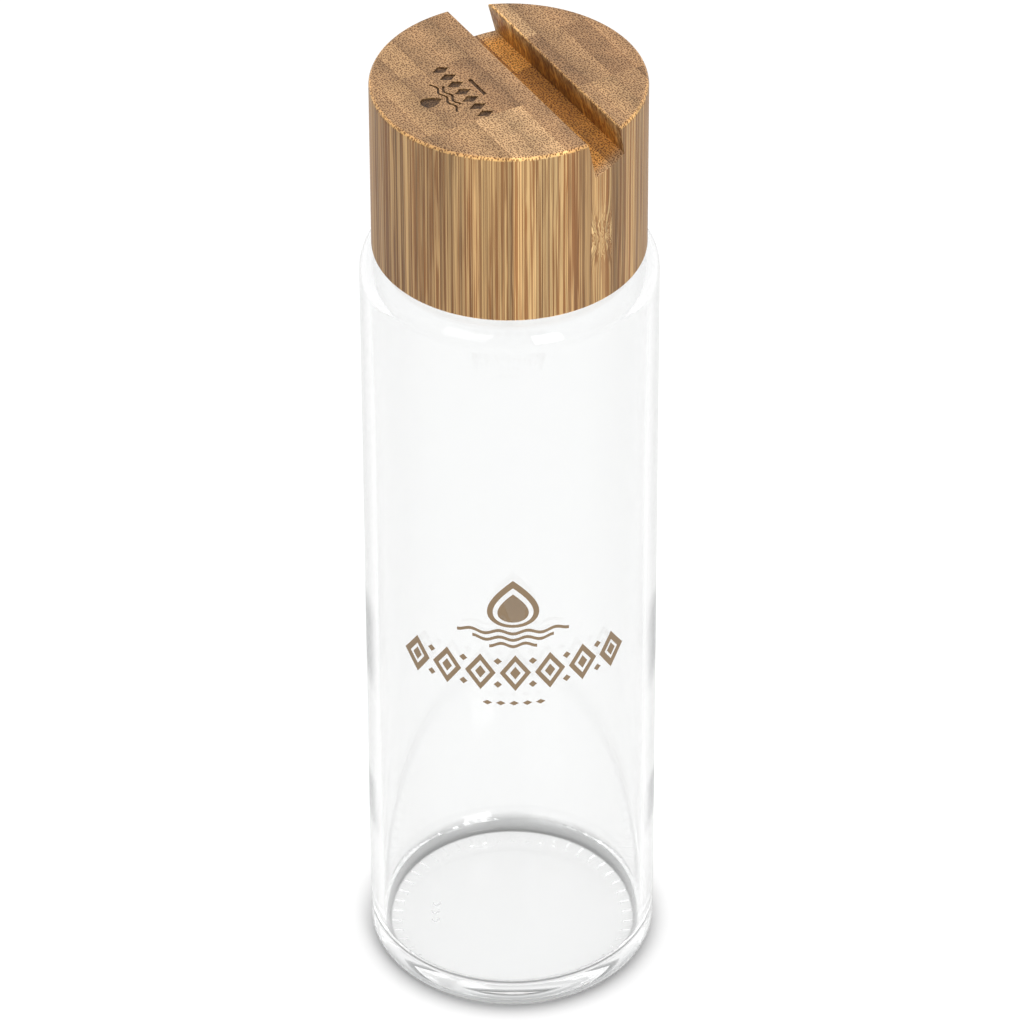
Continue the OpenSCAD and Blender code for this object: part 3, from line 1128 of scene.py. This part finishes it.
    def bead(self) -> bpy.types.Object:
        """The screw thread on the neck, with tapered ends.

        Returns:
            The object, a closed solid rooted in the neck's wall.
        """
        deselect()
        low = self.deck_top + self.bead_start
        bpy.ops.mesh.primitive_circle_add(vertices=self.bead_sides, radius=1.0, fill_type="NOTHING",
                                          location=(self.neck, 0, low), rotation=(math.pi / 2, 0, 0))
        bead = bpy.context.object
        bead.scale = (self.bead_height, self.bead_width / 2, 1)
        settle(bead)
        steps = int(self.bead_steps * self.turns)
        apply_modifier(bead, "SCREW", angle=self.turns * TURN, screw_offset=self.turns * self.pitch,
                       steps=steps, render_steps=steps, axis="Z", use_smooth_shade=True,
                       use_normal_calculate=True)
        edit(bead)
        for angle, side in ((0.0, -1), (self.turns * TURN, 1)):
            height = low + self.pitch * angle / TURN
            middle = Vector((self.neck * math.cos(angle), self.neck * math.sin(angle), height))
            tangent = Vector((-math.sin(angle), math.cos(angle), 0.0)) * side
            pick(bead, lambda place, m=middle, t=tangent: abs((place - m).dot(t)) < self.cap_slack
                 and (place - m).length < self.cap_reach * self.bead_height)
            bpy.ops.mesh.edge_face_add()
            bpy.ops.mesh.extrude_region_move(TRANSFORM_OT_translate={"value": tangent * self.bead_taper})
            end = middle + tangent * self.bead_taper
            root = (end.x * self.bead_sink, end.y * self.bead_sink, end.z)
            bpy.ops.transform.resize(value=self.bead_tip, center_override=root)
        bpy.ops.mesh.select_all(action="SELECT")
        bpy.ops.mesh.normals_make_consistent(inside=False)
        bpy.ops.object.mode_set(mode="OBJECT")
        return bead

    def mould_dots(self) -> List[bpy.types.Object]:
        """The small round marks under the push-up.

        Returns:
            The objects.
        """
        made = []
        segments, rings = self.dot_sides
        under = self.punt * (1 - (self.dot_ring / self.ring_in) ** 2)
        height = under + self.dot_radius - self.dot_proud
        for i in range(self.dots):
            angle = math.radians(self.dot_start + i * self.dot_step)
            place = (self.dot_ring * math.cos(angle), self.dot_ring * math.sin(angle), height)
            deselect()
            bpy.ops.mesh.primitive_uv_sphere_add(segments=segments, ring_count=rings,
                                                 radius=self.dot_radius, location=place)
            dot = bpy.context.object
            settle(dot)
            made.append(dot)
        return made

    def build(self, material: bpy.types.Material) -> bpy.types.Object:
        """Models the glass and dresses it.

        Args:
            material: The glass.

        Returns:
            The finished piece.
        """
        skin = self.body()
        added = fuse([self.bead(), *self.mould_dots()], "glass_relief")
        apply_modifier(skin, "BOOLEAN", operation="UNION", object=added, solver="EXACT")
        remove(added)
        focus(skin)
        bpy.ops.object.shade_smooth_by_angle(angle=self.smooth_angle)
        skin.data.materials.clear()
        skin.data.materials.append(material)
        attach(skin, "bottle")
        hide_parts("glass_bottle")
        return skin


@dataclass
class GlassPrint:
    """Ornament printed round the front of the glass: a drop over ripples, a band and a short line."""

    radius: float
    ink: float = 0.03 * MM
    guide_sides: int = 720
    emblem: Point2 = (0.75 * MM, 118.2 * MM)
    drop_size: Point2 = (11.6 * MM, 13.2 * MM)
    drop_rings: Tuple[float, ...] = (1.0, 0.78, 0.60)
    drop_lift: float = 1.6 * MM
    drop_sink: float = 0.22
    drop_bulge: float = 1.3
    ripple_length: float = 25.5 * MM
    ripples: Tuple[Tuple[float, float, int], ...] = (
        (-0.3 * MM, 1.0, 4), (1.5 * MM, 0.72, 3), (3.3 * MM, 0.42, 2))
    swell: float = 0.45 * MM
    line: float = 0.85 * MM
    band_left: float = -26.3 * MM
    band_right: float = 28.7 * MM
    band_height: float = 100.3 * MM
    lozenges: int = 7
    lozenge_size: Point2 = (7.0 * MM, 10.2 * MM)
    border: float = 1.05 * MM
    core_size: Point2 = (2.4 * MM, 3.6 * MM)
    stud_size: Point2 = (1.9 * MM, 1.9 * MM)
    stud_lift: float = 3.3 * MM
    dash: Point2 = (0.9 * MM, 91.7 * MM)
    dash_size: Point2 = (2.2 * MM, 1.3 * MM)
    dash_spacing: float = 3.0 * MM
    dash_reach: int = 2
    guide_height: Point2 = (50 * MM, 170 * MM)
    film: float = 0.7
    cuts: int = 5
    wave_steps: int = 16
    drop_steps: int = 56
    aim: float = 0.001 * MM

    def seat(self, along: float) -> Tuple[float, float]:
        """Where a length along the glass lies as seen from the front, and how much it narrows there.

        Args:
            along: Length along the glass from its front line.

        Returns:
            The x place and the share of its width that shows.
        """
        return self.radius * math.sin(along / self.radius), math.cos(along / self.radius)

    def lozenge(self, along: float, height: float, size: Point2, border: float) -> bpy.types.Object:
        """One lozenge, open in its middle if it has a border.

        Args:
            along: Place of its middle along the glass.
            height: Height of its middle.
            size: Its width and height.
            border: Width of its outline, or 0 for a solid one.

        Returns:
            The flat object in front of the glass.
        """
        x, narrow = self.seat(along)
        deselect()
        bpy.ops.mesh.primitive_circle_add(vertices=4, radius=0.5, fill_type="NGON",
                                          location=(x, -self.radius - MM, height),
                                          rotation=(math.pi / 2, 0, 0))
        shape = bpy.context.object
        shape.scale = (size[0] * narrow, size[1], 1)
        settle(shape)
        edit(shape, "FACE")
        bpy.ops.mesh.select_all(action="SELECT")
        if border:
            bpy.ops.mesh.inset(thickness=border)
            bpy.ops.mesh.delete(type="FACE")
            bpy.ops.mesh.select_all(action="SELECT")
        bpy.ops.mesh.subdivide(number_cuts=self.cuts)
        bpy.ops.object.mode_set(mode="OBJECT")
        return shape

    def ripple(self, height: float, length: float, waves: int) -> bpy.types.Object:
        """One water line.

        Args:
            height: Height of its middle.
            length: Its length along the glass.
            waves: Number of waves.

        Returns:
            The flat object in front of the glass.
        """
        steps = self.wave_steps * waves
        points = []
        for i in range(steps + 1):
            share = i / steps - 0.5
            x, _ = self.seat(self.emblem[0] + share * length)
            points.append((x, height - self.line / 2 - self.swell * math.cos(share * waves * TURN)))
        shape = drawn_line(points, "ripple")
        bpy.ops.mesh.select_all(action="SELECT")
        bpy.ops.mesh.extrude_region_move(TRANSFORM_OT_translate={"value": (0, 0, self.line)})
        bpy.ops.mesh.select_all(action="SELECT")
        bpy.ops.transform.translate(value=(0, -self.radius - MM, 0))
        bpy.ops.object.mode_set(mode="OBJECT")
        return shape

    def drop(self) -> bpy.types.Object:
        """The drop of the emblem, with a light gleam left open in it.

        Returns:
            The flat object in front of the glass.
        """
        rings = []
        for share in self.drop_rings:
            line = drawn_line(self.drop_outline(share), "drop")
            bpy.ops.mesh.select_all(action="DESELECT")
            pick(line, self.line_ends(self.drop_outline(share)))
            bpy.ops.mesh.edge_face_add()
            bpy.ops.mesh.select_all(action="SELECT")
            if share == self.drop_rings[-1]:
                bpy.ops.mesh.edge_face_add()
            bpy.ops.object.mode_set(mode="OBJECT")
            rings.append(line)
        outline = fuse(rings[:2], "drop")
        edit(outline, "EDGE")
        bpy.ops.mesh.select_all(action="SELECT")
        bpy.ops.mesh.bridge_edge_loops()
        shape = fuse([outline, rings[2]], "drop")
        edit(shape)
        bpy.ops.mesh.select_all(action="SELECT")
        bpy.ops.transform.translate(value=(0, -self.radius - MM, 0))
        bpy.ops.object.mode_set(mode="OBJECT")
        return shape

    def drop_outline(self, share: float) -> List[Point2]:
        """Points of the drop's outline, or of a smaller one inside it.

        Args:
            share: Its size as a share of the outer outline.

        Returns:
            (x, z) of each point.
        """
        width, height = self.drop_size
        steps = self.drop_steps
        middle = self.emblem[1] + self.drop_lift - (1 - share) * self.drop_sink * height
        x = self.seat(self.emblem[0])[0]
        points = []
        for i in range(steps):
            t = TURN * (i + 0.5) / steps
            bulge = math.sin(t) * math.sin(t / 2) * self.drop_bulge
            points.append((x + share * width / 2 * bulge, middle + share * height / 2 * math.cos(t)))
        return points

    def line_ends(self, points: Sequence[Point2]) -> Callable[[Vector], bool]:
        """A test that is true at the first and last point of a drawn line."""
        ends = [Vector((points[i][0], 0.0, points[i][1])) for i in (0, -1)]
        return lambda place: min((place - end).length for end in ends) < self.aim

    def flat_shapes(self) -> List[bpy.types.Object]:
        """Every shape of the ornament, flat in front of the glass.

        Returns:
            The objects.
        """
        low = self.emblem[1] - self.drop_size[1] / 2
        shapes = [self.drop()]
        for below, share, waves in self.ripples:
            shapes.append(self.ripple(low - below, share * self.ripple_length, waves))
        spacing = (self.band_right - self.band_left) / self.lozenges
        for i in range(self.lozenges):
            along = self.band_left + (i + 0.5) * spacing
            shapes.append(self.lozenge(along, self.band_height, self.lozenge_size, self.border))
            shapes.append(self.lozenge(along, self.band_height, self.core_size, 0.0))
        for i in range(1, self.lozenges):
            for side in (-1, 1):
                height = self.band_height + side * self.stud_lift
                shapes.append(self.lozenge(self.band_left + i * spacing, height, self.stud_size, 0.0))
        for i in range(-self.dash_reach, self.dash_reach + 1):
            along = self.dash[0] + i * self.dash_spacing
            shapes.append(self.lozenge(along, self.dash[1], self.dash_size, 0.0))
        return shapes

    def build(self, material: bpy.types.Material) -> bpy.types.Object:
        """Models the ornament, lays it on the glass and dresses it.

        Args:
            material: The ink.

        Returns:
            The finished piece.
        """
        ornament = fuse(self.flat_shapes(), "glass_print")
        deselect()
        low, high = self.guide_height
        bpy.ops.mesh.primitive_cylinder_add(vertices=self.guide_sides, radius=self.radius - self.ink,
                                            depth=high - low, location=(0, 0, (low + high) / 2))
        guide = bpy.context.object
        apply_modifier(ornament, "SHRINKWRAP", target=guide, wrap_method="PROJECT",
                       use_project_x=False, use_project_y=True, use_project_z=False,
                       use_negative_direction=False, use_positive_direction=True)
        remove(guide)
        apply_modifier(ornament, "SOLIDIFY", thickness=self.film * self.ink, offset=0.0)
        edit(ornament)
        bpy.ops.mesh.select_all(action="SELECT")
        bpy.ops.mesh.normals_make_consistent(inside=False)
        bpy.ops.object.mode_set(mode="OBJECT")
        ornament.data.materials.clear()
        ornament.data.materials.append(material)
        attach(ornament, "bottle")
        return ornament


# ---------------------------------------------------------------------------- the lid


@dataclass
class BambooLid:
    """The lid's block: strips of bamboo glued side by side, each with its own finish."""

    groups: SharedGroups
    top: float
    radius: float
    turned: float = math.radians(30.6)
    strip: float = 5.75 * MM
    mark_offset: float = 10.9 * MM
    row_shift: float = 0.85 * MM
    mark_half: Point2 = (10.6 * MM, 12.6 * MM)
    mark_depth: float = 0.35 * MM
    slot_middle: float = 6.5 * MM
    slot_half: float = 7.2 * MM
    slot_depth: float = 8.6 * MM
    knot_strip: str = "bamboo_right_1_front"

    @staticmethod
    def column_of(node: str) -> int:
        """How many strips a node lies from the middle one, less than 0 on the left."""
        words = node.split("_")
        return 0 if words[1] == "centre" else int(words[2]) * (-1 if words[1] == "left" else 1)

    @staticmethod
    def tone_of(node: str) -> Tone:
        """The tone that the record's material slot names for a node."""
        slots = {part["node"]: part["material_slot"] for part in frame["record"]["subparts"]}
        return Tone[slots[node].split("_")[1].upper()]

    def dress(self) -> List[bpy.types.Object]:
        """Gives each strip its finish.

        Returns:
            The strips.
        """
        dressed = []
        names = sorted(n for n in frame["nodes"] if n.startswith("bamboo_"))
        for seed, node in enumerate(names, start=1):
            finish = BambooFinish(
                name="finish_" + node, groups=self.groups, tone=self.tone_of(node), seed=float(seed),
                middle=self.column_of(node) * self.strip, half=self.strip / 2,
                knot=1.0 if node == self.knot_strip else 0.0, turned=self.turned,
                mark_middle=(-self.mark_offset, self.row_shift), mark_half=self.mark_half,
                mark_floor=self.top - self.mark_depth, mark_depth=self.mark_depth,
                top=self.top, slot_middle=self.slot_middle, slot_half=self.slot_half,
                slot_depth=self.slot_depth, lid_radius=self.radius)
            piece = frame["nodes"][node]
            piece.data.materials.clear()
            piece.data.materials.append(finish.build())
            dressed.append(piece)
        return dressed


# ---------------------------------------------------------------------------- the studio


@dataclass(frozen=True)
class SoftLight:
    """A soft light that looks at the upper part of the bottle."""

    name: str
    place: Tuple[float, float, float]
    size: Point2
    power: float

    def build(self, aim: Vector) -> None:
        """Hangs the light.

        Args:
            aim: The point that it looks at.
        """
        data = bpy.data.lights.new(self.name, "AREA")
        data.shape = "RECTANGLE"
        data.size, data.size_y = self.size
        data.energy = self.power
        light = bpy.data.objects.new(self.name, data)
        bpy.context.scene.collection.objects.link(light)
        light.location = self.place
        light.rotation_euler = (aim - Vector(self.place)).to_track_quat("-Z", "Y").to_euler()


@dataclass
class Studio:
    """Pale floor, white tent, two soft lights and the camera."""

    groups: SharedGroups
    tent: float = 0.985
    floor_size: float = 14.0
    floor_drop: float = 0.02 * MM
    floor_cuts: int = 9
    lens: float = 252.27
    sensor: float = 36.0
    eye: Tuple[float, float, float] = (10.6 * MM, -1279.7 * MM, 1102.2 * MM)
    aim: Tuple[float, float, float] = (0.334 * MM, 0.0, 120.284 * MM)
    roll: float = -0.004
    clip: Point2 = (0.05, 60.0)
    lit: Tuple[float, float, float] = (0.0, 0.0, 0.2)
    lights: Tuple[SoftLight, ...] = (
        SoftLight("softbox_left", (-0.75, -1.15, 0.95), (0.9, 0.8), 3.0),
        SoftLight("softbox_right", (0.62, -1.15, 0.62), (0.5, 0.6), 5.0),
    )
    front_level: Point2 = (0.93, 1.07)
    lift_span: Point2 = (-0.1, 0.9)
    lift_level: Point2 = (0.86, 1.12)
    aside_span: Point2 = (0.3, 1.0)
    aside_level: Point2 = (0.95, 1.22)
    glass_bounces: int = 96
    gloss_bounces: int = 64
    open_bounces: int = 24

    def floor(self) -> bpy.types.Object:
        """Lays the floor.

        Returns:
            The floor.
        """
        deselect()
        bpy.ops.mesh.primitive_plane_add(size=self.floor_size, location=(0, 0, -self.floor_drop))
        floor = bpy.context.object
        floor.name = floor.data.name = "paper_floor"
        settle(floor)
        edit(floor)
        bpy.ops.mesh.select_all(action="SELECT")
        bpy.ops.mesh.subdivide(number_cuts=self.floor_cuts)
        bpy.ops.object.mode_set(mode="OBJECT")
        floor.data.materials.append(PaperFloor("paper", self.groups).build())
        return floor

    def world(self) -> None:
        """Sets the white tent."""
        world = bpy.data.worlds.new("white_tent")
        bpy.context.scene.world = world
        world.use_nodes = True
        world.node_tree.nodes.clear()
        w = Wiring(world.node_tree)
        direction = w.node("TexCoord").outputs["Generated"]
        x, y, z = w.split(direction)
        front = w.band(w.times(y, -1.0), -1.0, 1.0, *self.front_level)
        lift = w.band(z, *self.lift_span, *self.lift_level)
        aside = w.band(w.maths("ABSOLUTE", x), *self.aside_span, *self.aside_level)
        level = w.times(front, w.times(lift, aside))
        path = w.node("LightPath")
        shown = w.blend(path.outputs["Is Camera Ray"], w.join(level, level, level), (1.0, 1.0, 1.0))
        glow = w.node("Background", {"Color": shown, "Strength": self.tent})
        w.node("OutputWorld", {"Surface": glow.outputs[0]})

    def camera(self) -> bpy.types.Object:
        """Sets the camera up.

        Returns:
            The camera.
        """
        data = bpy.data.cameras.new("camera")
        data.lens = self.lens
        data.sensor_width = self.sensor
        data.dof.use_dof = False
        data.clip_start, data.clip_end = self.clip
        camera = bpy.data.objects.new("camera", data)
        bpy.context.scene.collection.objects.link(camera)
        camera.location = self.eye
        look = (Vector(self.aim) - Vector(self.eye)).to_track_quat("-Z", "Y").to_euler()
        look.rotate_axis("Z", self.roll)
        camera.rotation_euler = look
        bpy.context.scene.camera = camera
        return camera

    def build(self) -> None:
        """Sets everything up."""
        self.camera()
        self.floor()
        self.world()
        for light in self.lights:
            light.build(Vector(self.lit))
        scene = bpy.context.scene
        scene.view_settings.view_transform = "Standard"
        scene.cycles.use_denoising = True
        scene.cycles.max_bounces = scene.cycles.transmission_bounces = self.glass_bounces
        scene.cycles.glossy_bounces = self.gloss_bounces
        scene.cycles.transparent_max_bounces = self.open_bounces


# ---------------------------------------------------------------------------- assembly


def report(pieces: Iterable[bpy.types.Object]) -> None:
    """Logs each piece with its number of faces."""
    for piece in pieces:
        log.info("%s: %d faces", piece.name, len(piece.data.polygons))


def dress_node(node: str, material: bpy.types.Material) -> bpy.types.Object:
    """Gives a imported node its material.

    Args:
        node: The node's name.
        material: Its material.

    Returns:
        The node's object.
    """
    piece = frame["nodes"][node]
    piece.data.materials.clear()
    piece.data.materials.append(material)
    return piece


def main() -> None:
    """Builds the scene."""
    logging.basicConfig(level=logging.INFO, format="%(message)s")
    groups = SharedGroups()
    Studio(groups).build()
    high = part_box("glass_bottle")[1]
    report([GlassBottle(high.x, high.z).build(ClearGlass(Slot.GLASS.value).build())])
    report([GlassPrint(high.x).build(PrintedInk("printed_ink", groups).build())])
    corners = [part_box(n)[1] for n in frame["nodes"] if n.startswith("bamboo_")]
    lid_top, lid_radius = max(c.z for c in corners), max(c.x for c in corners)
    report(BambooLid(groups, lid_top, lid_radius).dress())
    report([dress_node("threaded_insert", MouldedPlastic(Slot.PLASTIC.value, groups).build()),
            dress_node("silicone_gasket", SoftSilicone(Slot.SILICONE.value, groups).build())])


if __name__ == "__main__":
    main()
